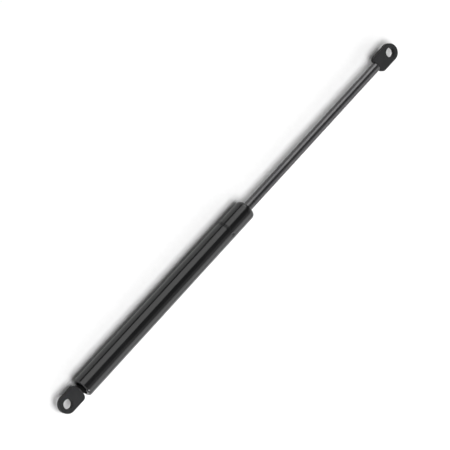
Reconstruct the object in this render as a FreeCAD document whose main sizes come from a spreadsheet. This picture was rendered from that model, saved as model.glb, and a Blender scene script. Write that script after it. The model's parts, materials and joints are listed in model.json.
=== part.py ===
import FreeCAD, Part
import os
import re
import Sketcher

# Gas strut stay: an 8 mm rod slides and turns in an 18 mm gas-filled tube, with a flat eye at each end.
# The frame: origin at the centre of the cylinder eye's hole, +X along the strut to the rod eye,
# +Z along the axes of the eye holes. The strut is drawn fully extended. Millimetres.

# ---------------------------------------------------------------------------
# Driving sizes. Every other size is a formula of these.
# ---------------------------------------------------------------------------

SIZES = [
    ("rod_radius", 4.0, "piston rod"),
    ("seal_space", 4.0, "radial room between rod and bore, which seal, guide and piston fill"),
    ("tube_wall", 1.0, "cylinder tube"),
    ("tube_length", 203.0, "cylinder tube over its rolled ends"),
    ("tube_corner", 2.7, "outer radius of a rolled end"),
    ("mouth_gap", 1.0, "rod mouth: lip's edge stands this far off the rod"),
    ("groove_from_end", 26.4, "rolled groove's centre to the rod end of the tube"),
    ("groove_depth", 0.7, "rolled groove"),
    ("groove_half_width", 1.1, "rolled groove, outside"),
    ("bead_half_width", 1.7, "bead that the groove makes in the bore"),
    ("rod_show", 169.6, "rod outside the tube, fully extended"),
    ("eye_hole_radius", 4.1, "hole for an 8 mm pin"),
    ("eye_width", 15.2, "eye plate"),
    ("eye_thickness", 4.5, "eye plate"),
    ("eye_corner", 4.0, "eye plate's corners at its welded end"),
    ("eye_edge", 0.4, "rounding of the stamped edges"),
    ("cylinder_eye_length", 15.0, "hole's centre to welded end"),
    ("rod_eye_length", 17.0, "hole's centre to welded end"),
    ("weld_leg", 0.9, "weld bead"),
    ("weld_width", 6.0, "weld bead, across the plate"),
    ("stud_radius", 4.0, "end plug's stud"),
    ("stud_show", 2.2, "stud outside the tube"),
    ("stud_gap", 2.0, "plug mouth: lip's edge stands this far off the stud"),
    ("plug_length", 10.0, "end plug inside the tube"),
    ("dish_depth", 2.5, "recess round the stud"),
    ("dish_wall", 0.3, "recess wall inside the plug mouth's edge"),
    ("ring_section", 1.5, "O-rings"),
    ("ring_groove", 2.0, "length of an O-ring's groove"),
    ("plug_ring_from_end", 5.0, "end plug's O-ring to the plug's outer face"),
    ("guide_ring_from_end", 8.0, "guide's O-ring to the guide's outer face"),
    ("backup_thickness", 1.5, "backup washer"),
    ("seal_length", 6.5, "rod seal"),
    ("seal_notch", 2.6, "depth of the seal's pressure notch"),
    ("seal_lip", 0.4, "seal lip set back from the seal's face"),
    ("spacer_thickness", 2.0, "spacer ring"),
    ("bush_length", 8.0, "guide bush"),
    ("bush_wall", 1.0, "guide bush"),
    ("wiper_length", 3.0, "rod wiper"),
    ("wiper_washer_thickness", 1.0, "washer over the wiper"),
    ("recess_land", 0.25, "flat left between the wiper's recess and the guide's round corner"),
    ("tail_radius", 2.5, "reduced tail of the rod"),
    ("shoulder_washer_radius", 5.2, "washer between shoulder and piston"),
    ("washer_thickness", 1.2, "washers each side of the piston"),
    ("piston_length", 7.5, "piston"),
    ("piston_play", 0.15, "piston's radial play in the bore"),
    ("seal_ring_wall", 1.0, "piston ring, radially"),
    ("seal_ring_width", 2.4, "piston ring, along the bore"),
    ("seal_ring_play", 0.1, "piston ring's play in its groove, each side"),
    ("flow_hole_radius", 0.5, "axial holes in the piston"),
    ("flow_hole_pitch", 5.9, "pitch radius of the axial holes"),
    ("flow_hole_count", 3, "axial holes in the piston"),
    ("orifice_radius", 0.35, "metering hole"),
    ("disc_radius", 6.6, "orifice disc"),
    ("disc_thickness", 0.8, "orifice disc"),
    ("rivet_washer_radius", 4.5, "washer under the rivet head"),
    ("rivet_radius", 3.8, "rivet head"),
    ("rivet_height", 1.5, "rivet head"),
    ("rebound_gap", 0.2, "buffer ring to backup washer, fully extended"),
    ("static_fit", 0.02, "seals against what they stand on"),
    ("push_fit", 0.05, "turned pieces in the bore"),
    ("running_fit", 0.04, "what slides on the rod or in the bore"),
    ("loose_fit", 0.3, "what the rod passes without touching"),
]

doc = FreeCAD.newDocument("gas_strut_stay")
sheet = doc.addObject("Spreadsheet::Sheet", "Sizes")
for row, (alias, number, note) in enumerate(SIZES, start=1):
    sheet.set("A%d" % row, note)
    sheet.set("B%d" % row, str(number))
    sheet.setAlias("B%d" % row, alias)
doc.recompute()

ALIASES = {alias for alias, number, note in SIZES}

# ---------------------------------------------------------------------------
# Stations along the strut and radii that several pieces share, as formulas.
# ---------------------------------------------------------------------------

bore_radius = "(rod_radius + seal_space)"
tube_radius = f"({bore_radius} + tube_wall)"
inner_corner = "(tube_corner - tube_wall)"
fitted_radius = f"({bore_radius} - push_fit)"
ring_groove_radius = f"({bore_radius} - ring_section - 2 * static_fit)"

tube_start = "(cylinder_eye_length + stud_show)"
tube_end = f"({tube_start} + tube_length)"
groove_centre = f"({tube_end} - groove_from_end)"
seat = f"({groove_centre} + bead_half_width)"
rod_end = f"({tube_end} + rod_show)"
rod_hole = f"({rod_end} + rod_eye_length)"

plug_face = f"({tube_start} + tube_wall)"
plug_mouth = "(stud_radius + stud_gap)"
rod_mouth = "(rod_radius + mouth_gap)"

seal_start = f"({seat} + backup_thickness)"
seal_end = f"({seal_start} + seal_length)"
guide_start = f"({seal_end} + spacer_thickness)"
guide_end = f"({tube_end} - tube_wall)"
recess_start = f"({guide_end} - wiper_washer_thickness - wiper_length)"
recess_radius = f"({fitted_radius} - {inner_corner} - recess_land)"
bush_radius = "(rod_radius + running_fit + bush_wall)"
passing_radius = "(rod_radius + loose_fit)"
running_radius = "(rod_radius + running_fit)"

# The buffer is as long as the bead is wide, so the piston never reaches the bead.
rebound_end = f"({seat} - rebound_gap)"
shoulder = f"({rebound_end} - 2 * bead_half_width)"
piston_front = f"({shoulder} - washer_thickness)"
piston_back = f"({piston_front} - piston_length)"
disc_back = f"({piston_back} - disc_thickness)"
rivet_face = f"({disc_back} - washer_thickness)"
rivet_end = f"({rivet_face} - rivet_height)"

# ---------------------------------------------------------------------------
# Helpers
# ---------------------------------------------------------------------------


def in_sheet(formula):
    """The formula with each size's name written as a cell of the sheet."""
    return re.sub(r"[a-z][a-z_]+", lambda m: "Sizes." + m[0] if m[0] in ALIASES else m[0], str(formula))


def value(formula):
    """The formula's number at the present sizes."""
    return float(sheet.evalExpression(in_sheet(formula)))


def bind(thing, prop, formula):
    thing.setExpression(prop, in_sheet(formula))


def line(x, y):
    """A straight side of an outline, up to the corner x, y."""
    return x, y, None


def arc(x, y, middle, radius):
    """A round side of an outline, by way of a middle point, up to the corner x, y."""
    return x, y, (middle, radius)


def rectangle(x_low, x_high, y_low, y_high):
    return [line(x_high, y_low), line(x_high, y_high), line(x_low, y_high), line(x_low, y_low)]


def new_body(name):
    body = doc.addObject("PartDesign::Body", name)
    body.Label = name
    return body


def new_sketch(body, plane):
    """An empty sketch on one of the body's own origin planes."""
    sketch = body.newObject("Sketcher::SketchObject", "%s_%d" % (body.Name, len(body.Group)))
    support = [f for f in body.Origin.OriginFeatures if f.Role == plane][0]
    sketch.AttachmentSupport = [(support, "")]
    sketch.MapMode = "FlatFace"
    return sketch


def hold(sketch, kind, geometry, end, formula):
    """Ties one coordinate of a point to its formula."""
    number = value(formula)
    axis = -1 if kind == "DistanceY" else -2
    if number == 0:
        sketch.addConstraint(Sketcher.Constraint("PointOnObject", geometry, end, axis))
        return
    if number > 0:
        index = sketch.addConstraint(Sketcher.Constraint(kind, -1, 1, geometry, end, number))
    else:
        index = sketch.addConstraint(Sketcher.Constraint(kind, geometry, end, -1, 1, -number))
        formula = f"-({formula})"
    bind(sketch, "Constraints[%d]" % index, formula)


def draw(sketch, sides):
    """Draws a closed outline. Each side starts where the one before it ends."""
    corners = [FreeCAD.Vector(value(x), value(y), 0) for x, y, bend in sides]
    ends = []
    for number, (x, y, bend) in enumerate(sides):
        start, end = corners[number - 1], corners[number]
        if bend is None:
            geometry = sketch.addGeometry(Part.LineSegment(start, end))
            ends.append((geometry, 1, 2))
            continue
        (middle_x, middle_y), radius = bend
        middle = FreeCAD.Vector(value(middle_x), value(middle_y), 0)
        geometry = sketch.addGeometry(Part.Arc(start, middle, end))
        turned_round = sketch.getPoint(geometry, 1).distanceToPoint(start) > 1e-6
        ends.append((geometry, 2, 1) if turned_round else (geometry, 1, 2))
        index = sketch.addConstraint(Sketcher.Constraint("Radius", geometry, value(radius)))
        bind(sketch, "Constraints[%d]" % index, radius)
    for number, (x, y, bend) in enumerate(sides):
        geometry, first, last = ends[number]
        following, following_first, following_last = ends[(number + 1) % len(ends)]
        sketch.addConstraint(Sketcher.Constraint("Coincident", geometry, last, following, following_first))
        hold(sketch, "DistanceX", geometry, last, x)
        hold(sketch, "DistanceY", geometry, last, y)


def draw_circle(sketch, x, y, radius):
    centre = FreeCAD.Vector(value(x), value(y), 0)
    circle = Part.Circle(centre, FreeCAD.Vector(0, 0, 1), value(radius))
    geometry = sketch.addGeometry(circle)
    hold(sketch, "DistanceX", geometry, 3, x)
    hold(sketch, "DistanceY", geometry, 3, y)
    index = sketch.addConstraint(Sketcher.Constraint("Radius", geometry, value(radius)))
    bind(sketch, "Constraints[%d]" % index, radius)


def turned(name, *outlines):
    """A piece turned about the strut's axis. Outlines are drawn as distance along and radius."""
    body = new_body(name)
    sketch = new_sketch(body, "XZ_Plane")
    for sides in outlines:
        draw(sketch, sides)
    revolution = body.newObject("PartDesign::Revolution", name + "_turned")
    revolution.Profile = sketch
    revolution.ReferenceAxis = (sketch, ["H_Axis"])
    revolution.Angle = 360
    sketch.Visibility = False
    doc.recompute()
    return body


def drill(body, station, x, y, radius, depth):
    """Drills a hole along the strut's axis, as deep to each side of a station."""
    before = body.Shape.Volume
    sketch = new_sketch(body, "YZ_Plane")
    bind(sketch, "AttachmentOffset.Base.z", station)
    draw_circle(sketch, x, y, radius)
    pocket = body.newObject("PartDesign::Pocket", "%s_hole" % body.Name)
    pocket.Profile = sketch
    pocket.Midplane = True
    bind(pocket, "Length", depth)
    doc.recompute()
    if body.Shape.Volume >= before:
        raise RuntimeError(body.Name + ": the hole cuts nothing")
    return pocket


def o_ring(name, station):
    """An O-ring that just fills the room between its groove's floor and the bore."""
    ring = doc.addObject("Part::Torus", name)
    ring.Label = name
    about_x = FreeCAD.Rotation(FreeCAD.Vector(0, 1, 0), 90)
    ring.Placement = FreeCAD.Placement(FreeCAD.Vector(0, 0, 0), about_x)
    bind(ring, "Radius1", f"{bore_radius} - static_fit - ring_section / 2")
    bind(ring, "Radius2", "ring_section / 2")
    bind(ring, "Placement.Base.x", station)
    return ring


def grooved(start, end, radius, groove_middle):
    """The outside of a turned piece, from its start's edge to its end, with an O-ring groove in it."""
    low = f"({groove_middle} - ring_groove / 2)"
    high = f"({groove_middle} + ring_groove / 2)"
    return [line(low, radius), line(low, ring_groove_radius), line(high, ring_groove_radius),
            line(high, radius), line(end, radius)]


# ---------------------------------------------------------------------------
# Cylinder tube: drawn tube, both ends rolled in, one groove rolled near the rod end
# ---------------------------------------------------------------------------


def cylinder_tube():
    flat = f"({tube_radius} - tube_corner)"
    low_bend = f"({tube_start} + tube_corner)"
    high_bend = f"({tube_end} - tube_corner)"
    inner_low = f"({tube_start} + tube_wall)"
    inner_high = f"({tube_end} - tube_wall)"
    slope = "sqrt(0.5)"
    groove_bend = "((groove_half_width^2 + groove_depth^2) / (2 * groove_depth))"
    bead_bend = "((bead_half_width^2 + groove_depth^2) / (2 * groove_depth))"

    def bend_middle(centre, sign, radius):
        return f"{centre} {sign} {radius} * {slope}", f"{flat} + {radius} * {slope}"

    return turned("cylinder_tube", [
        line(tube_start, plug_mouth),
        line(tube_start, flat),
        arc(low_bend, tube_radius, bend_middle(low_bend, "-", "tube_corner"), "tube_corner"),
        line(f"{groove_centre} - groove_half_width", tube_radius),
        arc(f"{groove_centre} + groove_half_width", tube_radius,
            (groove_centre, f"{tube_radius} - groove_depth"), groove_bend),
        line(high_bend, tube_radius),
        arc(tube_end, flat, bend_middle(high_bend, "+", "tube_corner"), "tube_corner"),
        line(tube_end, rod_mouth),
        line(inner_high, rod_mouth),
        line(inner_high, flat),
        arc(high_bend, bore_radius, bend_middle(high_bend, "+", inner_corner), inner_corner),
        line(f"{groove_centre} + bead_half_width", bore_radius),
        arc(f"{groove_centre} - bead_half_width", bore_radius,
            (groove_centre, f"{bore_radius} - groove_depth"), bead_bend),
        line(low_bend, bore_radius),
        arc(inner_low, flat, bend_middle(low_bend, "-", inner_corner), inner_corner),
        line(inner_low, plug_mouth),
    ])


# ---------------------------------------------------------------------------
# Cylinder end: plug with its stud and O-ring
# ---------------------------------------------------------------------------


def end_plug():
    """A turned plug that the rolled end holds. Its stud stands out through the mouth to the eye."""
    dish_floor = f"({plug_face} + dish_depth)"
    dish_radius = f"({plug_mouth} - dish_wall)"
    round_end = f"({plug_face} + {inner_corner})"
    round_centre = f"({fitted_radius} - {inner_corner})"
    plug_end = f"({plug_face} + plug_length)"
    ring_middle = f"({plug_face} + plug_ring_from_end)"
    return turned("end_plug", [
        line("cylinder_eye_length", "0"),
        line("cylinder_eye_length", "stud_radius"),
        line(dish_floor, "stud_radius"),
        line(dish_floor, dish_radius),
        line(plug_face, dish_radius),
        line(plug_face, round_centre),
        arc(round_end, fitted_radius,
            (f"{round_end} - {inner_corner} * sqrt(0.5)", f"{round_centre} + {inner_corner} * sqrt(0.5)"),
            inner_corner),
        *grooved(round_end, plug_end, fitted_radius, ring_middle),
        line(plug_end, "0"),
    ])


# ---------------------------------------------------------------------------
# Rod end of the cylinder: backup washer, rod seal, spacer, guide with bush and O-ring, wiper and washer
# ---------------------------------------------------------------------------


def rod_seal():
    """A lip seal: a notch opens it towards the gas, and two lips run on the rod."""
    outer = f"({bore_radius} - static_fit)"
    middle = f"({bore_radius} + rod_radius) / 2"
    notch_half = "(seal_space / 8)"
    return turned("rod_seal", [
        line(seal_end, outer),
        line(seal_end, passing_radius),
        line(f"{seal_end} - seal_length / 4", running_radius),
        line(f"{seal_end} - seal_length / 2", passing_radius),
        line(f"{seal_start} + 3 * seal_lip", passing_radius),
        line(f"{seal_start} + seal_lip", running_radius),
        line(seal_start, passing_radius),
        line(seal_start, f"{middle} - {notch_half}"),
        line(f"{seal_start} + seal_notch", middle),
        line(seal_start, f"{middle} + {notch_half}"),
        line(seal_start, outer),
    ])


def rod_guide():
    """Fills the rolled end. Its bore holds the bush, and a recess under the lip holds the wiper."""
    round_start = f"({guide_end} - {inner_corner})"
    round_centre = f"({fitted_radius} - {inner_corner})"
    bush_end = f"({guide_start} + bush_length)"
    ring_middle = f"({guide_end} - guide_ring_from_end)"
    return turned("rod_guide", [
        line(guide_start, bush_radius),
        line(guide_start, fitted_radius),
        *grooved(guide_start, round_start, fitted_radius, ring_middle),
        arc(guide_end, round_centre,
            (f"{round_start} + {inner_corner} * sqrt(0.5)", f"{round_centre} + {inner_corner} * sqrt(0.5)"),
            inner_corner),
        line(guide_end, recess_radius),
        line(recess_start, recess_radius),
        line(recess_start, passing_radius),
        line(bush_end, passing_radius),
        line(bush_end, bush_radius),
    ])


def rod_wiper():
    """A scraper ring whose lip leans out towards the mouth."""
    wiper_end = f"({recess_start} + wiper_length)"
    return turned("rod_wiper", [
        line(recess_start, f"{recess_radius} - static_fit"),
        line(recess_start, passing_radius),
        line(f"{wiper_end} - wiper_length / 4", running_radius),
        line(wiper_end, passing_radius),
        line(wiper_end, f"{recess_radius} - static_fit"),
    ])


def rod_end_pieces():
    bush_end = f"{guide_start} + bush_length"
    washer_start = f"{guide_end} - wiper_washer_thickness"
    return [
        turned("seal_backup_washer", rectangle(seat, seal_start, passing_radius, fitted_radius)),
        rod_seal(),
        turned("seal_spacer", rectangle(seal_end, guide_start, passing_radius, fitted_radius)),
        rod_guide(),
        turned("guide_bush", rectangle(guide_start, bush_end, running_radius, bush_radius)),
        o_ring("guide_seal", f"{guide_end} - guide_ring_from_end"),
        rod_wiper(),
        turned("wiper_washer",
               rectangle(washer_start, guide_end, passing_radius, f"{recess_radius} - push_fit")),
    ]


# ---------------------------------------------------------------------------
# Rod and piston
# ---------------------------------------------------------------------------


def piston_rod():
    """A ground rod with a reduced tail, whose end is riveted over the piston's washers."""
    dome_radius = "((rivet_radius^2 + rivet_height^2) / (2 * rivet_height))"
    return turned("piston_rod", [
        line(rivet_end, "0"),
        arc(rivet_face, "rivet_radius",
            (f"{rivet_end} + {dome_radius} - sqrt({dome_radius}^2 - (rivet_radius / 2)^2)",
             "rivet_radius / 2"),
            dome_radius),
        line(rivet_face, "tail_radius"),
        line(shoulder, "tail_radius"),
        line(shoulder, "rod_radius"),
        line(rod_end, "rod_radius"),
        line(rod_end, "0"),
    ])


def piston():
    """A turned piston with a groove for its ring and a few axial holes for the gas."""
    outer = f"({bore_radius} - piston_play)"
    groove_floor = f"({bore_radius} - running_fit - seal_ring_wall - loose_fit)"
    middle = f"({piston_front} - piston_length / 2)"
    half_groove = "(seal_ring_width / 2 + seal_ring_play)"
    body = turned("piston", [
        line(piston_back, "tail_radius"),
        line(piston_back, outer),
        line(f"{middle} - {half_groove}", outer),
        line(f"{middle} - {half_groove}", groove_floor),
        line(f"{middle} + {half_groove}", groove_floor),
        line(f"{middle} + {half_groove}", outer),
        line(piston_front, outer),
        line(piston_front, "tail_radius"),
    ])
    hole = drill(body, middle, "flow_hole_pitch", "0", "flow_hole_radius", "2 * piston_length")
    pattern = body.newObject("PartDesign::PolarPattern", "piston_holes")
    pattern.Originals = [hole]
    pattern.Axis = (hole.Profile[0], ["N_Axis"])
    pattern.Angle = 360
    bind(pattern, "Occurrences", "flow_hole_count")
    body.Tip = pattern
    return body


def piston_ring():
    middle = f"({piston_front} - piston_length / 2)"
    outer = f"({bore_radius} - running_fit)"
    return turned("piston_ring", rectangle(
        f"{middle} - seal_ring_width / 2", f"{middle} + seal_ring_width / 2",
        f"{outer} - seal_ring_wall", outer))


def orifice_disc():
    """Covers the piston's holes. Its one small hole lets the gas through slowly."""
    body = turned("orifice_disc", rectangle(disc_back, piston_back, "tail_radius", "disc_radius"))
    drill(body, disc_back, "flow_hole_pitch", "0", "orifice_radius", "4 * disc_thickness")
    return body


def rod_pieces():
    return [
        piston_rod(),
        piston(),
        piston_ring(),
        orifice_disc(),
        turned("piston_washer",
               rectangle(piston_front, shoulder, "tail_radius", "shoulder_washer_radius")),
        turned("rivet_washer", rectangle(rivet_face, disc_back, "tail_radius", "rivet_washer_radius")),
        turned("rebound_ring", rectangle(
            shoulder, rebound_end, "rod_radius", f"{bore_radius} - groove_depth - 2 * loose_fit")),
    ]


# ---------------------------------------------------------------------------
# Eyes: stamped plates, round at the hole and square where they are welded
# ---------------------------------------------------------------------------


def eye_plate(name, hole, sign, length):
    """sign says which way the welded end lies from the hole: + along X, - against it."""
    body = new_body(name)
    sketch = new_sketch(body, "XY_Plane")
    half = "(eye_width / 2)"
    base = f"({hole} {sign} {length})"
    bend = f"({base} {sign} -1 * eye_corner)"
    bend_middle = f"{bend} {sign} eye_corner * sqrt(0.5)"
    inset = f"({half} - eye_corner)"
    tip = f"({hole} {sign} -1 * {half})"
    tip_slope = f"({hole} {sign} -1 * {half} * sqrt(0.5))"
    draw(sketch, [
        line(hole, half),
        arc(tip, "0", (tip_slope, f"{half} * sqrt(0.5)"), half),
        arc(hole, f"-1 * {half}", (tip_slope, f"-1 * {half} * sqrt(0.5)"), half),
        line(bend, f"-1 * {half}"),
        arc(base, f"-1 * {inset}", (bend_middle, f"-1 * ({inset} + eye_corner * sqrt(0.5))"), "eye_corner"),
        line(base, inset),
        arc(bend, half, (bend_middle, f"{inset} + eye_corner * sqrt(0.5)"), "eye_corner"),
    ])
    draw_circle(sketch, hole, "0", "eye_hole_radius")
    pad = body.newObject("PartDesign::Pad", name + "_blank")
    pad.Profile = sketch
    pad.Midplane = True
    bind(pad, "Length", "eye_thickness")
    doc.recompute()

    hole_centre = FreeCAD.Vector(value(hole), 0, 0)
    face_height = value("eye_thickness") / 2

    def on_rim(edge):
        """True for an edge of either flat face that isn't the hole's."""
        box = edge.BoundBox
        flat = box.ZLength < 1e-6 and abs(abs(box.ZMin) - face_height) < 1e-6
        around_hole = edge.Vertexes[0].Point.distanceToPoint(
            FreeCAD.Vector(hole_centre.x, 0, edge.Vertexes[0].Z)) < value("eye_hole_radius") + 1e-6
        return flat and not around_hole

    rims = ["Edge%d" % number for number, edge in enumerate(pad.Shape.Edges, start=1) if on_rim(edge)]
    fillet = body.newObject("PartDesign::Fillet", name + "_edges")
    fillet.Base = (pad, rims)
    bind(fillet, "Radius", "eye_edge")
    doc.recompute()
    return body


def weld_beads(name, base, sign):
    """Two beads, one on each face of the plate, in the corner with the round end it is welded to."""
    body = new_body(name)
    body.AllowCompound = True
    sketch = new_sketch(body, "XZ_Plane")
    toe = f"({base} {sign} -1 * weld_leg)"
    for side in ("", "-1 * "):
        draw(sketch, [
            line(base, f"{side}(eye_thickness / 2)"),
            line(base, f"{side}(eye_thickness / 2 + weld_leg)"),
            line(toe, f"{side}(eye_thickness / 2)"),
        ])
    pad = body.newObject("PartDesign::Pad", name + "_bead")
    pad.Profile = sketch
    pad.Midplane = True
    bind(pad, "Length", "weld_width")
    doc.recompute()
    return body


# ---------------------------------------------------------------------------
# The whole strut
# ---------------------------------------------------------------------------

pieces = [
    cylinder_tube(),
    end_plug(),
    o_ring("end_plug_seal", f"{plug_face} + plug_ring_from_end"),
    *rod_end_pieces(),
    *rod_pieces(),
    eye_plate("cylinder_eye", "0", "+", "cylinder_eye_length"),
    weld_beads("cylinder_eye_weld", "cylinder_eye_length", "+"),
    eye_plate("rod_eye", rod_hole, "-", "rod_eye_length"),
    weld_beads("rod_eye_weld", rod_end, "-"),
]
doc.recompute()

for thing in doc.Objects:
    if "Invalid" in thing.State or "Error" in thing.State:
        raise RuntimeError("%s failed: %s" % (thing.Label, thing.State))
for piece in pieces:
    if piece.Shape.isNull() or not piece.Shape.isValid():
        raise RuntimeError(piece.Label + " has no valid shape")

os.makedirs("parts", exist_ok=True)
for piece in pieces:
    piece.Shape.exportStep("parts/%s.step" % piece.Label)
    box = piece.Shape.optimalBoundingBox(False)
    print("%-20s %d solid(s)  %8.1f mm3  x %7.2f to %7.2f  y %6.2f to %5.2f  z %6.2f to %5.2f" % (
        piece.Label, len(piece.Shape.Solids), piece.Shape.Volume,
        box.XMin, box.XMax, box.YMin, box.YMax, box.ZMin, box.ZMax))
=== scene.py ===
# %% [markdown]
# # A gas strut stay, built around its CAD frame
#
# The CAD model already says where each piece is and how it moves. This file gives the strut its looks:
# smooth turned meshes for what the eye sees, a finish for every piece, a floor, lights and a camera.
# The first step loads the frame.

# %% Load the frame
import json
import math
import bmesh
import bpy
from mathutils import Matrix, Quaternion, Vector


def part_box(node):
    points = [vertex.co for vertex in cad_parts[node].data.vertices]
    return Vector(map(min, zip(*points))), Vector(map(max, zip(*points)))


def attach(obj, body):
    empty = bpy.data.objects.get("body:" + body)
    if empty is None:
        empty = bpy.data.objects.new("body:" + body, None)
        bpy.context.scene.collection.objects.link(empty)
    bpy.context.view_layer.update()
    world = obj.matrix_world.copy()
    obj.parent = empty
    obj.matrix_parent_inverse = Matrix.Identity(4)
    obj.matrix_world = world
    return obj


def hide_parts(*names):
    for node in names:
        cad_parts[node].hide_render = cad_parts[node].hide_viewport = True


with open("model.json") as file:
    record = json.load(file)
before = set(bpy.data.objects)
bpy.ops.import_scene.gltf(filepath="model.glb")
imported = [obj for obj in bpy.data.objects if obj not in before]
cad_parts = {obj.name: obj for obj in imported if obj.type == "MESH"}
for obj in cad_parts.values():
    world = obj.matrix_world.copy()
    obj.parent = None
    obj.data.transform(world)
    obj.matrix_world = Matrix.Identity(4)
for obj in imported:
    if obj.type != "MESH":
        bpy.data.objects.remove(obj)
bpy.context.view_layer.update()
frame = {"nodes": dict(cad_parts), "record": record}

print("nodes:", len(frame["nodes"]))

# %% [markdown]
# Places come from the frame. A node's box gives its lowest and highest corners, so the length of the tube,
# the radius of the rod and the middle of an eye's hole are all worked out from boxes and from the record.
# Small sizes that a box can't show, such as a wall or a rounding, are named here once, in metres.

# %% Sizes read from the frame
MM = 0.001
tube_low, tube_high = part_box("cylinder_tube")
rod_low, rod_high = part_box("piston_rod")
plug_low, plug_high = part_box("end_plug")
mounts = {mount["name"]: mount for mount in frame["record"]["mounts"]}
cylinder_hole = Vector(mounts["cylinder_eye_hole"]["pos_m"])
rod_hole = Vector(mounts["rod_eye_hole"]["pos_m"])
hole_radius = mounts["cylinder_eye_hole"]["dims"]["r_mm"] * MM
tube_radius = tube_high[2]
rod_radius = rod_high[2]
print("tube radius %.4f, rod radius %.4f, hole to hole %.4f" % (
    tube_radius, rod_radius, (rod_hole - cylinder_hole).length))

# %% [markdown]
# ## The camera
#
# A strut is long and thin, so a long lens from two metres away keeps both ends nearly the same size. The
# camera could be given a position and three angles, but it is easier to read as: look at this point, from
# this compass direction and height, and then roll the camera until the strut lies along the picture's
# diagonal.

# %% Camera
LENS = 200.0
SENSOR_WIDTH = 36.0
LOOK_AT = Vector((0.1970, 0.0033, -0.0013))
VIEW_DISTANCE = 2.012
VIEW_AZIMUTH = math.radians(133.03)
VIEW_HEIGHT = math.radians(61.08)
VIEW_ROLL = math.radians(93.26)

camera_data = bpy.data.cameras.new("camera")
camera_data.lens = LENS
camera_data.sensor_width = SENSOR_WIDTH
camera = bpy.data.objects.new("camera", camera_data)
bpy.context.scene.collection.objects.link(camera)
towards_camera = Vector((math.cos(VIEW_HEIGHT) * math.cos(VIEW_AZIMUTH),
                         math.cos(VIEW_HEIGHT) * math.sin(VIEW_AZIMUTH),
                         math.sin(VIEW_HEIGHT)))
camera.location = LOOK_AT + towards_camera * VIEW_DISTANCE
level_view = (-towards_camera).to_track_quat("-Z", "Y")
camera.rotation_mode = "QUATERNION"
camera.rotation_quaternion = level_view @ Quaternion((0, 0, 1), VIEW_ROLL)
bpy.context.scene.camera = camera
print("camera at", [round(c, 3) for c in camera.location])

# %% [markdown]
# ## Building shader nodes
#
# A material is a small graph of nodes. Writing each node out takes many lines, so one helper makes a node,
# sets its options, and fills its inputs: an input that is given a socket is linked, and anything else is
# set as a plain value.

# %% Node helpers


def fill(tree, target, value):
    """Links a socket into the target input, or sets the input to a plain value."""
    if isinstance(value, bpy.types.NodeSocket):
        tree.links.new(value, target)
    else:
        target.default_value = value


def add_node(tree, kind, inputs=None, **options):
    made = tree.nodes.new(kind)
    for option, value in options.items():
        setattr(made, option, value)
    for name, value in (inputs or {}).items():
        fill(tree, made.inputs[name], value)
    return made


def math_node(tree, operation, first, second=0.0):
    return add_node(tree, "ShaderNodeMath", {0: first, 1: second}, operation=operation).outputs[0]


def blend_colours(tree, factor, low, high):
    """A mix of two colours by a mask."""
    made = add_node(tree, "ShaderNodeMix", data_type="RGBA")
    fill(tree, made.inputs[0], factor)
    fill(tree, made.inputs[6], low)
    fill(tree, made.inputs[7], high)
    return made.outputs[2]


def new_group(name, inputs, outputs):
    """A shader node group with named number inputs and outputs."""
    group = bpy.data.node_groups.new(name, "ShaderNodeTree")
    for label, default in inputs.items():
        socket = group.interface.new_socket(name=label, in_out="INPUT", socket_type="NodeSocketFloat")
        socket.default_value = default
    for label in outputs:
        group.interface.new_socket(name=label, in_out="OUTPUT", socket_type="NodeSocketFloat")
    entry = group.nodes.new("NodeGroupInput")
    leave = group.nodes.new("NodeGroupOutput")
    return group, entry, leave


def use_group(tree, group, **inputs):
    made = tree.nodes.new("ShaderNodeGroup")
    made.node_tree = group
    for label, value in inputs.items():
        fill(tree, made.inputs[label], value)
    return made


print("node helpers ready")

# %% [markdown]
# Every finish on the strut has some fine unevenness: paint has a slight orange peel, rubber and plastic have
# a moulded grain. It is the same noise at different sizes, so it is one group. It gives a height for a bump
# and a shade from 0 to 1 for small changes of colour and gloss.

# %% Group: surface grain
GRAIN_ROUGHNESS = 0.55
SHADE_RANGE = {"From Min": 0.3, "From Max": 0.7}
grain_group, grain_in, grain_out = new_group("surface_grain", {"Size": 0.001, "Detail": 3.0},
                                             ["Height", "Shade"])
grain_place = add_node(grain_group, "ShaderNodeTexCoord")
grain_scale = math_node(grain_group, "DIVIDE", 1.0, grain_in.outputs["Size"])
grain_noise = add_node(grain_group, "ShaderNodeTexNoise", {
    "Vector": grain_place.outputs["Object"], "Scale": grain_scale, "Detail": grain_in.outputs["Detail"],
    "Roughness": GRAIN_ROUGHNESS})
grain_shade = add_node(grain_group, "ShaderNodeMapRange", {"Value": grain_noise.outputs[0], **SHADE_RANGE})
grain_group.links.new(grain_noise.outputs[0], grain_out.inputs["Height"])
grain_group.links.new(grain_shade.outputs[0], grain_out.inputs["Shade"])
print("made group", grain_group.name)

# %% [markdown]
# Turned, drawn and ground pieces carry marks round their axis. Stretching the noise round the axis is done by
# giving it the distance along the strut at full size and the other two directions much smaller, so
# one streak runs most of the way round before it fades.

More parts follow.
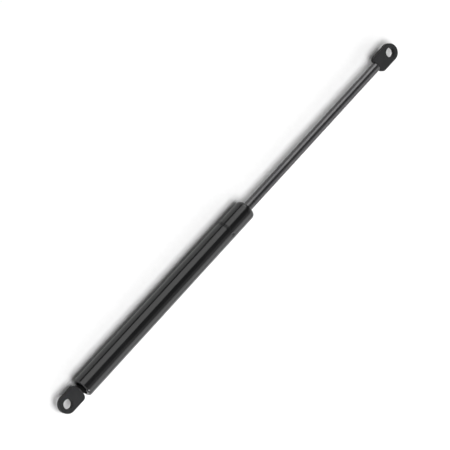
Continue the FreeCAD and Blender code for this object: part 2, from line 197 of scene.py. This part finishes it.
# %% Group: turning marks
MARKS_ROUGHNESS = 0.6
marks_group, marks_in, marks_out = new_group("turning_marks", {"Pitch": 0.0003, "Length": 0.02},
                                             ["Height", "Shade"])
marks_place = add_node(marks_group, "ShaderNodeTexCoord")
marks_split = add_node(marks_group, "ShaderNodeSeparateXYZ", {"Vector": marks_place.outputs["Object"]})
marks_along = math_node(marks_group, "DIVIDE", marks_split.outputs["X"], marks_in.outputs["Pitch"])
marks_side = math_node(marks_group, "DIVIDE", marks_split.outputs["Y"], marks_in.outputs["Length"])
marks_up = math_node(marks_group, "DIVIDE", marks_split.outputs["Z"], marks_in.outputs["Length"])
marks_join = add_node(marks_group, "ShaderNodeCombineXYZ", {"X": marks_along, "Y": marks_side, "Z": marks_up})
marks_noise = add_node(marks_group, "ShaderNodeTexNoise", {
    "Vector": marks_join.outputs[0], "Scale": 1.0, "Detail": 2.0, "Roughness": MARKS_ROUGHNESS})
marks_shade = add_node(marks_group, "ShaderNodeMapRange", {"Value": marks_noise.outputs[0], **SHADE_RANGE})
marks_group.links.new(marks_noise.outputs[0], marks_out.inputs["Height"])
marks_group.links.new(marks_shade.outputs[0], marks_out.inputs["Shade"])
print("made group", marks_group.name)

# %% [markdown]
# A black part is never perfectly clean. A few grains of dust lie on it, each a fraction of a millimetre
# across. Cells of a Voronoi pattern place them, and a slow noise decides where there are any.

# %% Group: dust specks
SPECK_SIZE = 0.055
DRIFT_SCALE = 60.0
dust_group, dust_in, dust_out = new_group("dust_specks", {"Spacing": 0.002, "Amount": 0.3}, ["Mask"])
dust_place = add_node(dust_group, "ShaderNodeTexCoord")
dust_scale = math_node(dust_group, "DIVIDE", 1.0, dust_in.outputs["Spacing"])
dust_cells = add_node(dust_group, "ShaderNodeTexVoronoi", {
    "Vector": dust_place.outputs["Object"], "Scale": dust_scale})
dust_speck = math_node(dust_group, "LESS_THAN", dust_cells.outputs["Distance"], SPECK_SIZE)
dust_drift = add_node(dust_group, "ShaderNodeTexNoise", {
    "Vector": dust_place.outputs["Object"], "Scale": DRIFT_SCALE, "Detail": 2.0})
dust_here = math_node(dust_group, "LESS_THAN", dust_drift.outputs[0], dust_in.outputs["Amount"])
dust_mask = math_node(dust_group, "MULTIPLY", dust_speck, dust_here)
dust_group.links.new(dust_mask, dust_out.inputs["Mask"])
print("made group", dust_group.name)

# %% [markdown]
# ## Finishes
#
# Each finish is a Principled BSDF. What is the same all over, such as metalness or the index of refraction,
# is set on the shader itself. What changes over the surface, such as colour and roughness, comes from
# the groups. A bump node turns a height into a small tilt of the surface.

# %% Material helper


def new_finish(name, ior=1.5, metallic=0.0, specular=0.5):
    finish = bpy.data.materials.new(name)
    finish.use_nodes = True
    tree = finish.node_tree
    shader = tree.nodes["Principled BSDF"]
    shader.inputs["IOR"].default_value = ior
    shader.inputs["Metallic"].default_value = metallic
    shader.inputs["Specular IOR Level"].default_value = specular
    return finish, tree, shader


def between(tree, mask, low, high):
    """Maps a 0 to 1 mask onto a range, for a roughness that varies a little."""
    return add_node(tree, "ShaderNodeMapRange", {"Value": mask, "To Min": low, "To Max": high}).outputs[0]


def give_bump(tree, shader, height, distance, strength=1.0):
    bump = add_node(tree, "ShaderNodeBump", {"Height": height, "Distance": distance, "Strength": strength})
    tree.links.new(bump.outputs[0], shader.inputs["Normal"])


print("finish helpers ready")

# %% [markdown]
# The cylinder is sprayed gloss black over drawn steel. The paint is almost a mirror: what shows is the room
# reflected in it. So the colour is nearly black, the roughness is low, and a very shallow wave in the
# paint keeps the long reflections from looking drawn with a ruler.

# %% Finish: gloss black paint
PAINT_DARK = (0.005, 0.005, 0.0053, 1)
PAINT_LIGHT = (0.0075, 0.0075, 0.0078, 1)
DUST_COLOUR = (0.09, 0.085, 0.08, 1)
black_paint, tree, shader = new_finish("gloss_black_paint", ior=1.47)
peel = use_group(tree, grain_group, Size=0.0035, Detail=2.0)
haze = use_group(tree, grain_group, Size=0.02, Detail=3.0)
dust = use_group(tree, dust_group, Spacing=0.0022, Amount=0.36)
paint_colour = blend_colours(tree, haze.outputs["Shade"], PAINT_DARK, PAINT_LIGHT)
fill(tree, shader.inputs["Base Color"],
     blend_colours(tree, dust.outputs["Mask"], paint_colour, DUST_COLOUR))
fill(tree, shader.inputs["Roughness"], between(tree, haze.outputs["Shade"], 0.10, 0.15))
give_bump(tree, shader, peel.outputs["Height"], 0.00003)
print("made", black_paint.name)

# %% [markdown]
# The rod is ground, nitrided and polished: dark steel with a clear streak of light along it. It is a metal
# whose oxide has darkened it, and grinding has left marks round it that widen the streak a little.

# %% Finish: dark rod steel
ROD_DARK = (0.068, 0.068, 0.0705, 1)
ROD_LIGHT = (0.084, 0.0832, 0.084, 1)
rod_steel, tree, shader = new_finish("dark_rod_steel", metallic=1.0)
grinding = use_group(tree, marks_group, Pitch=0.00022, Length=0.02)
oxide = use_group(tree, grain_group, Size=0.012, Detail=4.0)
fill(tree, shader.inputs["Base Color"],
     blend_colours(tree, oxide.outputs["Shade"], ROD_DARK, ROD_LIGHT))
fill(tree, shader.inputs["Roughness"], between(tree, grinding.outputs["Shade"], 0.25, 0.33))
give_bump(tree, shader, grinding.outputs["Height"], 0.000004)
print("made", rod_steel.name)

# %% [markdown]
# The eyes are stamped plates with a thin satin black coat. The coat follows the fine texture of the rolled
# steel, so it scatters light much more than the paint on the tube does and looks dark grey.

# %% Finish: satin black plate
PLATE_DARK = (0.021, 0.0213, 0.0222, 1)
PLATE_LIGHT = (0.0255, 0.0258, 0.0268, 1)
plate_black, tree, shader = new_finish("satin_black_plate", ior=1.14)
coat_grain = use_group(tree, grain_group, Size=0.0006, Detail=4.0)
blotch = use_group(tree, grain_group, Size=0.006, Detail=3.0)
plate_colour = blend_colours(tree, blotch.outputs["Shade"], PLATE_DARK, PLATE_LIGHT)
fill(tree, shader.inputs["Base Color"], plate_colour)
fill(tree, shader.inputs["Roughness"], between(tree, blotch.outputs["Shade"], 0.36, 0.46))
give_bump(tree, shader, coat_grain.outputs["Height"], 0.00006)
print("made", plate_black.name)

# %% [markdown]
# The welds were coated together with the plates, but weld metal is rougher, so the same colour gets a
# coarser grain.

# %% Finish: coated weld
WELD_DARK = (0.018, 0.018, 0.019, 1)
WELD_LIGHT = (0.034, 0.034, 0.035, 1)
weld_black, tree, shader = new_finish("coated_weld", ior=1.3)
weld_grain = use_group(tree, grain_group, Size=0.0004, Detail=5.0)
fill(tree, shader.inputs["Base Color"],
     blend_colours(tree, weld_grain.outputs["Shade"], WELD_DARK, WELD_LIGHT))
fill(tree, shader.inputs["Roughness"], between(tree, weld_grain.outputs["Shade"], 0.42, 0.62))
give_bump(tree, shader, weld_grain.outputs["Height"], 0.00012)
print("made", weld_black.name)

# %% [markdown]
# Inside are turned steel, sintered steel, bronze, rubber and two plastics. They share two recipes: turned
# metal, with marks round the axis, and moulded stuff, with a grain. Sintered steel is pressed from powder
# and has a dull, even grain, so it takes the moulded recipe. Each finish is one call with its own colours,
# so that a piece seen when the strut is taken apart still looks like what it is.

# %% Finishes for the inner pieces
ROUGH_SPREAD = 0.12
TURNING_LENGTH = 0.015
STAIN_SIZE = 0.004


def turned_metal(name, dark, light, rough, pitch, height, metallic=1.0, specular=0.5):
    finish, tree, shader = new_finish(name, metallic=metallic, specular=specular)
    marks = use_group(tree, marks_group, Pitch=pitch, Length=TURNING_LENGTH)
    stain = use_group(tree, grain_group, Size=STAIN_SIZE, Detail=3.0)
    fill(tree, shader.inputs["Base Color"], blend_colours(tree, stain.outputs["Shade"], dark, light))
    fill(tree, shader.inputs["Roughness"], between(tree, marks.outputs["Shade"], rough, rough + ROUGH_SPREAD))
    give_bump(tree, shader, marks.outputs["Height"], height)
    print("made", name)
    return finish


def moulded(name, dark, light, rough, grain_size, height, specular=0.5):
    finish, tree, shader = new_finish(name, specular=specular)
    grain = use_group(tree, grain_group, Size=grain_size, Detail=4.0)
    fill(tree, shader.inputs["Base Color"], blend_colours(tree, grain.outputs["Shade"], dark, light))
    fill(tree, shader.inputs["Roughness"], between(tree, grain.outputs["Shade"], rough, rough + ROUGH_SPREAD))
    give_bump(tree, shader, grain.outputs["Height"], height)
    print("made", name)
    return finish


# The plug is blackened steel, and its colour is set darker still: painted shade that keeps the recess inside
# the tube's mouth black.
plug_steel = turned_metal("blackened_plug_with_painted_shade", (0.003, 0.003, 0.003, 1), (0.0055, 0.0055, 0.0055, 1),
                          rough=0.5, pitch=0.00018, height=0.000008, metallic=0.0, specular=0.05)
washer_steel = turned_metal("bright_washer_steel", (0.42, 0.42, 0.43, 1), (0.52, 0.52, 0.53, 1),
                            rough=0.22, pitch=0.00012, height=0.000004)
bush_bronze = turned_metal("bush_bronze", (0.38, 0.24, 0.12, 1), (0.50, 0.34, 0.18, 1),
                           rough=0.30, pitch=0.00015, height=0.000005)
sintered_steel = moulded("sintered_steel", (0.10, 0.10, 0.105, 1), (0.19, 0.19, 0.195, 1),
                         rough=0.50, grain_size=0.0003, height=0.00004)
seal_rubber = moulded("seal_rubber", (0.010, 0.010, 0.010, 1), (0.019, 0.019, 0.019, 1),
                      rough=0.42, grain_size=0.0008, height=0.00001)
guide_plastic = moulded("guide_plastic", (0.055, 0.055, 0.06, 1), (0.085, 0.085, 0.09, 1),
                        rough=0.40, grain_size=0.0006, height=0.000015)
ring_plastic = moulded("ring_plastic", (0.46, 0.44, 0.39, 1), (0.56, 0.54, 0.49, 1),
                       rough=0.38, grain_size=0.0007, height=0.00001)

# %% [markdown]
# The inner pieces keep their CAD shape, which is already right, and only get their finish.

# %% Give the inner pieces their finish
INNER_FINISHES = {
    seal_rubber: ["end_plug_seal", "rod_seal", "guide_seal", "rod_wiper"],
    washer_steel: ["seal_backup_washer", "wiper_washer", "piston_washer", "rivet_washer", "orifice_disc"],
    guide_plastic: ["seal_spacer", "rebound_ring"],
    sintered_steel: ["rod_guide", "piston"],
    bush_bronze: ["guide_bush"],
    ring_plastic: ["piston_ring"],
}
for finish, names in INNER_FINISHES.items():
    for name in names:
        node = frame["nodes"][name]
        node.data.materials.clear()
        node.data.materials.append(finish)
        print(name, "is", finish.name)

# %% [markdown]
# ## Turned pieces
#
# Tube, plug and rod are bodies of revolution. Blender could bevel a cylinder, but the rolled ends and the
# groove are curves along the length, so it is simpler to write the outline as a list of points (distance
# along, radius) and spin it. The faces are quads, smooth-shaded, with sharp edges only where the outline
# really turns a corner.

# %% Spin an outline into a mesh
AROUND = 192
ON_AXIS = 1e-7


def arc_points(centre, radius, start, end, steps=12):
    """Points on an arc of the outline. Angles in degrees, 0 along the strut, 90 outwards."""
    points = []
    for step in range(steps + 1):
        angle = math.radians(start + (end - start) * step / steps)
        points.append((centre[0] + radius * math.cos(angle), centre[1] + radius * math.sin(angle)))
    return points


def ring_of(mesh, along, radius):
    """The vertices that one outline point sweeps out: a circle, or one vertex on the axis."""
    if radius < ON_AXIS:
        return [mesh.verts.new((along, 0, 0))]
    turns = [2 * math.pi * step / AROUND for step in range(AROUND)]
    return [mesh.verts.new((along, radius * math.cos(turn), radius * math.sin(turn))) for turn in turns]


def band_between(mesh, first, second):
    if len(first) == 1 and len(second) == 1:
        return
    for step in range(AROUND):
        following = (step + 1) % AROUND
        corners = [first[step % len(first)], second[step % len(second)],
                   second[following % len(second)], first[following % len(first)]]
        mesh.faces.new(list(dict.fromkeys(corners)))


def spin_outline(outline):
    """A closed mesh of revolution about the strut's axis."""
    mesh = bmesh.new()
    rings = [ring_of(mesh, along, radius) for along, radius in outline]
    for index, ring in enumerate(rings):
        band_between(mesh, ring, rings[(index + 1) % len(rings)])
    bmesh.ops.recalc_face_normals(mesh, faces=mesh.faces)
    return mesh


print("outlines are spun in", AROUND, "steps")

# %% [markdown]
# Smooth shading averages the directions of neighbouring faces. Where a very long face meets a tiny one in a
# rounding, that average would bend the reflection all along the tube. A Weighted Normal modifier lets
# the large face win, which is how a hard-surface modeller keeps long reflections straight.

# %% Turn a mesh into a finished piece
CORNER = math.radians(35)


def finish_piece(name, mesh, finish, body, slot, *nodes):
    """Makes the object, shades it, hangs it on the body it rides on, and hides the CAD nodes it stands for.
    """
    data = bpy.data.meshes.new(name)
    mesh.to_mesh(data)
    mesh.free()
    for polygon in data.polygons:
        polygon.use_smooth = True
    data.set_sharp_from_angle(angle=CORNER)
    data.materials.append(finish)
    piece = bpy.data.objects.new(name, data)
    bpy.context.scene.collection.objects.link(piece)
    weighted = piece.modifiers.new("weighted_normals", "WEIGHTED_NORMAL")
    weighted.keep_sharp = True
    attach(piece, body)
    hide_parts(*nodes)
    print("%s: %d faces" % (name, len(data.polygons)))


# %% [markdown]
# ## The cylinder tube
#
# It is a drawn tube whose ends are rolled inwards over the plug and over the guide, and a narrow groove is
# rolled into it to hold the seal pack. The wheel that rolls it bites deepest at its two edges, so the
# outline there is a soft W. Rolled steel has no sharp shoulders, so both lips of the ends are rounded too.

# %% Cylinder tube
TUBE_WALL = 1.0 * MM
PLUG_END_ROLL = 2.0 * MM
ROD_END_ROLL = 3.2 * MM
PLUG_MOUTH = 6.0 * MM
ROD_MOUTH = 5.0 * MM
LIP_ROUNDING = 0.3 * MM
GROOVE_FROM_END = 26.4 * MM
GROOVE_DEPTH = 0.6 * MM
GROOVE_HALF_WIDTH = 1.25 * MM
INNER_SPREAD = 1.25
ROLL_STEPS = 20
INNER_STEPS = 10
LIP_STEPS = 6
groove_x = tube_high[0] - GROOVE_FROM_END


def groove_points(radius, half_width, depth, dips, steps=48):
    """Narrow dips side by side in the outline, with a low rib between them, from low end to high end."""
    points = []
    for step in range(steps + 1):
        share = step / steps
        dip = depth * math.sin(math.pi * dips * share) ** 2
        points.append((groove_x + half_width * (2 * share - 1), radius - dip))
    return points


def tube_outline():
    low, high = tube_low[0], tube_high[0]
    bore = tube_radius - TUBE_WALL
    low_bend = (low + PLUG_END_ROLL, tube_radius - PLUG_END_ROLL)
    high_bend = (high - ROD_END_ROLL, tube_radius - ROD_END_ROLL)
    low_lip = (low + LIP_ROUNDING, PLUG_MOUTH + LIP_ROUNDING)
    high_lip = (high - LIP_ROUNDING, ROD_MOUTH + LIP_ROUNDING)
    outside = [(low + TUBE_WALL, PLUG_MOUTH)]
    outside += arc_points(low_lip, LIP_ROUNDING, 270, 180, LIP_STEPS)
    outside += arc_points(low_bend, PLUG_END_ROLL, 180, 90, ROLL_STEPS)
    outside += groove_points(tube_radius, GROOVE_HALF_WIDTH, GROOVE_DEPTH, 2)
    outside += arc_points(high_bend, ROD_END_ROLL, 90, 0, ROLL_STEPS)
    outside += arc_points(high_lip, LIP_ROUNDING, 0, -90, LIP_STEPS)
    inside = [(high - TUBE_WALL, ROD_MOUTH)]
    inside += arc_points(high_bend, ROD_END_ROLL - TUBE_WALL, 0, 90, INNER_STEPS)
    inside += groove_points(bore, GROOVE_HALF_WIDTH * INNER_SPREAD, GROOVE_DEPTH, 1)[::-1]
    inside += arc_points(low_bend, PLUG_END_ROLL - TUBE_WALL, 90, 180, INNER_STEPS)
    return outside + inside


finish_piece("tube_shell", spin_outline(tube_outline()), black_paint, "cylinder", "black_paint",
             "cylinder_tube")

# %% [markdown]
# ## The end plug
#
# Only its stud and the dish round the stud show, through the mouth at the cylinder's low end. The rest
# follows the CAD, with its O-ring groove.

# %% End plug
STUD_RADIUS = 4.0 * MM
DISH_DEPTH = 2.5 * MM
DISH_RADIUS = 5.7 * MM
RING_SECTION = 1.5 * MM
RING_GROOVE = 2.0 * MM
PUSH_FIT = 0.05 * MM
STUD_FILLET = 0.6 * MM
RING_FROM_FACE = 5.0 * MM


def plug_outline():
    start, end = plug_low[0], plug_high[0]
    face = tube_low[0] + TUBE_WALL
    radius = tube_radius - TUBE_WALL - PUSH_FIT
    rounding = PLUG_END_ROLL - TUBE_WALL
    ring_floor = tube_radius - TUBE_WALL - RING_SECTION
    ring_low = face + RING_FROM_FACE - RING_GROOVE / 2
    ring_high = ring_low + RING_GROOVE
    outline = [(start, 0), (start, STUD_RADIUS)]
    outline += arc_points((face + DISH_DEPTH - STUD_FILLET, STUD_RADIUS + STUD_FILLET), STUD_FILLET,
                          270, 360, LIP_STEPS)
    outline += [(face + DISH_DEPTH, DISH_RADIUS), (face, DISH_RADIUS)]
    outline += arc_points((face + rounding, radius - rounding), rounding, 180, 90, INNER_STEPS)
    outline += [(ring_low, radius), (ring_low, ring_floor), (ring_high, ring_floor), (ring_high, radius)]
    outline += [(end, radius), (end, 0)]
    return outline


# The plug's near-black colour is partly painted shade for the recess behind the tube's mouth.
finish_piece("plug_with_stud", spin_outline(plug_outline()), plug_steel, "cylinder", "plug_steel",
             "end_plug")

# %% [markdown]
# ## The piston rod
#
# One bar: ground full size outside, turned down to a tail inside, and riveted over the piston's washers. A
# tiny chamfer at the outer end catches light where it meets the eye.

# %% Piston rod
TAIL_RADIUS = 2.5 * MM
RIVET_RADIUS = 3.8 * MM
RIVET_HEIGHT = 1.5 * MM
ROD_CHAMFER = 0.15 * MM
_, washer_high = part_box("piston_washer")


def rod_outline():
    start, end = rod_low[0], rod_high[0]
    dome = (RIVET_RADIUS ** 2 + RIVET_HEIGHT ** 2) / (2 * RIVET_HEIGHT)
    spread = math.degrees(math.asin(RIVET_RADIUS / dome))
    outline = arc_points((start + dome, 0), dome, 180, 180 - spread, 12)
    outline += [(start + RIVET_HEIGHT, TAIL_RADIUS), (washer_high[0], TAIL_RADIUS)]
    outline += [(washer_high[0], rod_radius), (end - ROD_CHAMFER, rod_radius)]
    outline += [(end, rod_radius - ROD_CHAMFER), (end, 0)]
    return outline


finish_piece("ground_rod", spin_outline(rod_outline()), rod_steel, "rod", "dark_rod_steel", "piston_rod")

# %% [markdown]
# ## The eyes
#
# Each eye is stamped from flat bar: a half circle round the hole, straight sides, and rounded corners at the
# welded end. A punch pulls the edge round on one face (the die roll) and leaves it nearly sharp on
# the other. The outline is written as a function of how far it is set in, so the roundings are
# simply the same outline again, a little smaller at each step.

# %% Stamped eye plates
EYE_CORNER = 3.6 * MM
DIE_ROLL = 0.45 * MM
BACK_EDGE = 0.25 * MM
HOLE_ROLL = 0.15 * MM
HOLE_BACK = 0.05 * MM
EDGE_STEPS = 6
ROUND_STEPS = 45
CORNER_STEPS = 10
SIDE_STEPS = 8
END_STEPS = 10


def eye_outline(hole_x, base_x, half_width, inset):
    """Points round the plate, set in by a distance. The welded end may lie either way along the strut."""
    way = 1 if base_x > hole_x else -1
    reach = abs(base_x - hole_x)
    half = half_width - inset
    corner = EYE_CORNER - inset
    corner_along = reach - EYE_CORNER
    corner_side = half_width - EYE_CORNER
    points = arc_points((0, 0), half, 90, 270, ROUND_STEPS)
    points += [(corner_along * step / SIDE_STEPS, -half) for step in range(1, SIDE_STEPS)]
    points += arc_points((corner_along, -corner_side), corner, -90, 0, CORNER_STEPS)
    points += [(reach - inset, corner_side * (-1 + 2 * step / END_STEPS)) for step in range(1, END_STEPS)]
    points += arc_points((corner_along, corner_side), corner, 0, 90, CORNER_STEPS)
    points += [(corner_along * (1 - step / SIDE_STEPS), half) for step in range(1, SIDE_STEPS)]
    return [(hole_x + way * along, side) for along, side in points]


def edge_steps(thickness, top_roll, back_roll):
    """How far the edge is set in at each height, from the top face round to the back face."""
    steps = []
    for step in range(EDGE_STEPS + 1):
        angle = math.pi / 2 * step / EDGE_STEPS
        steps.append((thickness / 2 - top_roll * (1 - math.cos(angle)), top_roll * (1 - math.sin(angle))))
    for step in range(EDGE_STEPS + 1):
        angle = math.pi / 2 * step / EDGE_STEPS
        steps.append((-thickness / 2 + back_roll * (1 - math.sin(angle)), back_roll * (1 - math.cos(angle))))
    return steps


def join_loops(mesh, first, second):
    count = len(first)
    for step in range(count):
        following = (step + 1) % count
        mesh.faces.new([first[step], first[following], second[following], second[step]])


def eye_mesh(node, hole_x, base_x):
    low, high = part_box(node)
    thickness = high[2] - low[2]
    half_width = high[1]
    true_outline = eye_outline(hole_x, base_x, half_width, 0)
    angles = [math.atan2(side, along - hole_x) for along, side in true_outline]
    mesh = bmesh.new()
    outer, inner = [], []
    for height, inset in edge_steps(thickness, DIE_ROLL, BACK_EDGE):
        outer.append([mesh.verts.new((along, side, height))
                      for along, side in eye_outline(hole_x, base_x, half_width, inset)])
    for height, inset in edge_steps(thickness, HOLE_ROLL, HOLE_BACK):
        radius = hole_radius + inset
        inner.append([mesh.verts.new((hole_x + radius * math.cos(a), radius * math.sin(a), height))
                      for a in angles])
    for loops in (outer, inner):
        for first, second in zip(loops, loops[1:]):
            join_loops(mesh, first, second)
    join_loops(mesh, outer[0], inner[0])
    join_loops(mesh, outer[-1], inner[-1])
    bmesh.ops.recalc_face_normals(mesh, faces=mesh.faces)
    return mesh


_, eye_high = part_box("cylinder_eye")
finish_piece("eye_at_cylinder", eye_mesh("cylinder_eye", cylinder_hole.x, eye_high[0]), plate_black,
             "cylinder", "black_plate", "cylinder_eye")
rod_eye_low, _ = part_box("rod_eye")
finish_piece("eye_at_rod", eye_mesh("rod_eye", rod_hole.x, rod_eye_low[0]), plate_black,
             "rod", "black_plate", "rod_eye")

# %% [markdown]
# ## The welds
#
# A short bead lies on each face of a plate, in the corner with the round end that it is welded to. Weld metal
# freezes in ripples, so the bead swells and narrows along its length and tapers to nothing at its ends.

# %% Weld beads
BEAD_SLICES = 48
BEAD_SIDES = 8
RIPPLES = 9
RIPPLE_SHARE = 0.09
BEAD_SINK = 0.1 * MM
BEAD_HOLLOW = 1.3
BEAD_END = 0.12
TAPER_POWER = 4


def bead_slice(mesh, base_x, way, face_height, up, leg, side):
    """One cross-section of the bead: a rounded corner, with its hidden sides sunk into the metal."""
    points = [(-BEAD_SINK, -BEAD_SINK)]
    for step in range(BEAD_SIDES + 1):
        angle = math.pi / 2 * step / BEAD_SIDES
        points.append((leg * math.cos(angle) ** BEAD_HOLLOW, leg * math.sin(angle) ** BEAD_HOLLOW))
    return [mesh.verts.new((base_x + way * along, side, up * (face_height + rise))) for along, rise in points]


def weld_mesh(node, way, face_height):
    low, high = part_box(node)
    base_x = low[0] if way > 0 else high[0]
    full_leg = high[0] - low[0]
    half_length = high[1]
    mesh = bmesh.new()
    for up in (1, -1):
        slices = []
        for number in range(BEAD_SLICES + 1):
            share = -1 + 2 * number / BEAD_SLICES
            ripple = 1 + RIPPLE_SHARE * (math.cos(math.pi * RIPPLES * share) - 1)
            taper = math.sqrt(max(BEAD_END, 1 - share ** TAPER_POWER))
            slices.append(bead_slice(mesh, base_x, way, face_height, up, full_leg * ripple * taper,
                                     half_length * share))
        for first, second in zip(slices, slices[1:]):
            join_loops(mesh, first, second)
        mesh.faces.new(slices[0])
        mesh.faces.new(slices[-1])
    bmesh.ops.recalc_face_normals(mesh, faces=mesh.faces)
    return mesh


plate_face = eye_high[2]
finish_piece("weld_at_cylinder", weld_mesh("cylinder_eye_weld", -1, plate_face), weld_black,
             "cylinder", "weld_bead", "cylinder_eye_weld")
finish_piece("weld_at_rod", weld_mesh("rod_eye_weld", 1, plate_face), weld_black,
             "rod", "weld_bead", "rod_eye_weld")

# %% [markdown]
# ## The floor
#
# The strut lies on its tube on a plain white floor. A pale matt sheet, far larger than the strut, runs out of
# view on every side, so no edge or backdrop has to be built. Its shader has no gloss, because a glossy
# floor would show a second strut under the first.

# %% Floor
FLOOR_HALF = 6.0
FLOOR_DARK = (0.84, 0.84, 0.84, 1)
FLOOR_LIGHT = (0.86, 0.86, 0.86, 1)
FLOOR_ROUGHNESS = 0.9
floor_height = tube_low[2]
floor_mesh = bpy.data.meshes.new("floor")
corner_signs = [(-1, -1), (1, -1), (1, 1), (-1, 1)]
floor_corners = [(x * FLOOR_HALF, y * FLOOR_HALF, floor_height) for x, y in corner_signs]
floor_mesh.from_pydata(floor_corners, [], [(0, 1, 2, 3)])
floor = bpy.data.objects.new("floor", floor_mesh)
bpy.context.scene.collection.objects.link(floor)
floor_white, tree, shader = new_finish("floor_white", specular=0.0)
paper = use_group(tree, grain_group, Size=0.004, Detail=3.0)
fill(tree, shader.inputs["Base Color"],
     blend_colours(tree, paper.outputs["Shade"], FLOOR_DARK, FLOOR_LIGHT))
shader.inputs["Roughness"].default_value = FLOOR_ROUGHNESS
floor_mesh.materials.append(floor_white)
print("floor at height %.4f" % floor_height)

# %% [markdown]
# ## The lights
#
# Gloss black shows only what it reflects, so what stands round the strut matters more than the colour of
# the paint. Each light is an area light placed by compass direction and height, and aimed at the strut.
# Its strength is given as a brightness for each part of its face, so that a light can be made larger
# without looking brighter in a reflection.

# %% Light helper
STRUT_MIDDLE = Vector((0.2, 0, 0))


def area_light(name, azimuth, height, distance, along, length, width, radiance, shape="RECTANGLE"):
    """A soft light aimed at the strut. Azimuth is in degrees from +X towards +Y, height above the floor."""
    turn, rise = math.radians(azimuth), math.radians(height)
    direction = Vector((math.cos(rise) * math.cos(turn), math.cos(rise) * math.sin(turn), math.sin(rise)))
    data = bpy.data.lights.new(name, "AREA")
    data.shape = shape
    data.size = length
    data.size_y = width
    area = length * width * (math.pi / 4 if shape == "ELLIPSE" else 1)
    data.energy = radiance * math.pi * area
    light = bpy.data.objects.new(name, data)
    light.location = STRUT_MIDDLE + direction * distance + Vector((along, 0, 0))
    light.rotation_mode = "QUATERNION"
    light.rotation_quaternion = direction.to_track_quat("Z", "Y")
    light.visible_camera = False
    bpy.context.scene.collection.objects.link(light)
    print("%s: %.1f W" % (name, data.energy))
    return light


# %% [markdown]
# The key is nearly overhead and a little to one side. It is wide, so the shadow has a soft edge, and it is
# left out of reflections, where it would be a bright disc on the paint.

# %% Key light
KEY_SIDE = -90
key = area_light("soft_key", azimuth=KEY_SIDE, height=82, distance=1.6, along=-0.25, length=1.3, width=1.3,
                 radiance=7.4, shape="ELLIPSE")
key.visible_glossy = False

# %% [markdown]
# The tube and the bare rod have a set of three lights each, because paint and dark steel reflect
# differently: a long panel on one side for the bright band, and on the key's side a dim skirt with a pale
# card below it. An end card shows in the rounded ends, and a small lamp makes one tight highlight. These
# could all light the floor too, but that would wash out the shadow. So only the two cards do: from low
# down they spread a faint haze beside the tube. They also reach under the rod and lighten the edge of
# its shadow there, which is the price of the haze.

# %% Lights for the gloss
SHADOW_SIDE = 90
GLOSS_DISTANCE = 1.2
PANEL_HEIGHT = 40.5
SKIRT_HEIGHT = 58
SKIRT_WIDTH = 0.62
CARD_HEIGHT = 24
CARD_WIDTH = 0.86


def gloss_set(part, along, length, tilt, panel_width, panel, skirt, card):
    """Panel, skirt and card for one part. The tilt lowers the panel and lifts the other two."""
    return [area_light(part + "_panel", SHADOW_SIDE, PANEL_HEIGHT - tilt, GLOSS_DISTANCE, along, length,
                       panel_width, panel),
            area_light(part + "_skirt", KEY_SIDE, SKIRT_HEIGHT + tilt, GLOSS_DISTANCE, along, length,
                       SKIRT_WIDTH, skirt),
            area_light(part + "_card", KEY_SIDE, CARD_HEIGHT + tilt, GLOSS_DISTANCE, along, length,
                       CARD_WIDTH, card)]


reflected = gloss_set("tube", along=-0.3, length=1.6, tilt=0, panel_width=1.14, panel=1.95, skirt=0.42,
                      card=1.9)
reflected += gloss_set("rod", along=1.2, length=1.4, tilt=8, panel_width=1.02, panel=3.4, skirt=1.0,
                       card=2.2)
reflected.append(area_light("end_card", azimuth=165, height=17, distance=1.5, along=0.0, length=2.8,
                            width=0.75, radiance=1.9))
reflected.append(area_light("small_lamp", azimuth=-125, height=24, distance=1.5, along=0.0, length=0.30,
                            width=0.30, radiance=60.0, shape="ELLIPSE"))
for light in reflected:
    light.visible_diffuse = light.name in ("tube_card", "rod_card")

# %% [markdown]
# A dim even room fills what the lights leave. It keeps the darkest reflections from going fully black.

# %% Surroundings
ROOM_BRIGHTNESS = 0.12
world = bpy.data.worlds.new("room")
world.use_nodes = True
background = world.node_tree.nodes["Background"]
background.inputs["Color"].default_value = (1, 1, 1, 1)
background.inputs["Strength"].default_value = ROOM_BRIGHTNESS
bpy.context.scene.world = world
bpy.context.scene.view_settings.view_transform = "Standard"
print("room brightness", ROOM_BRIGHTNESS)
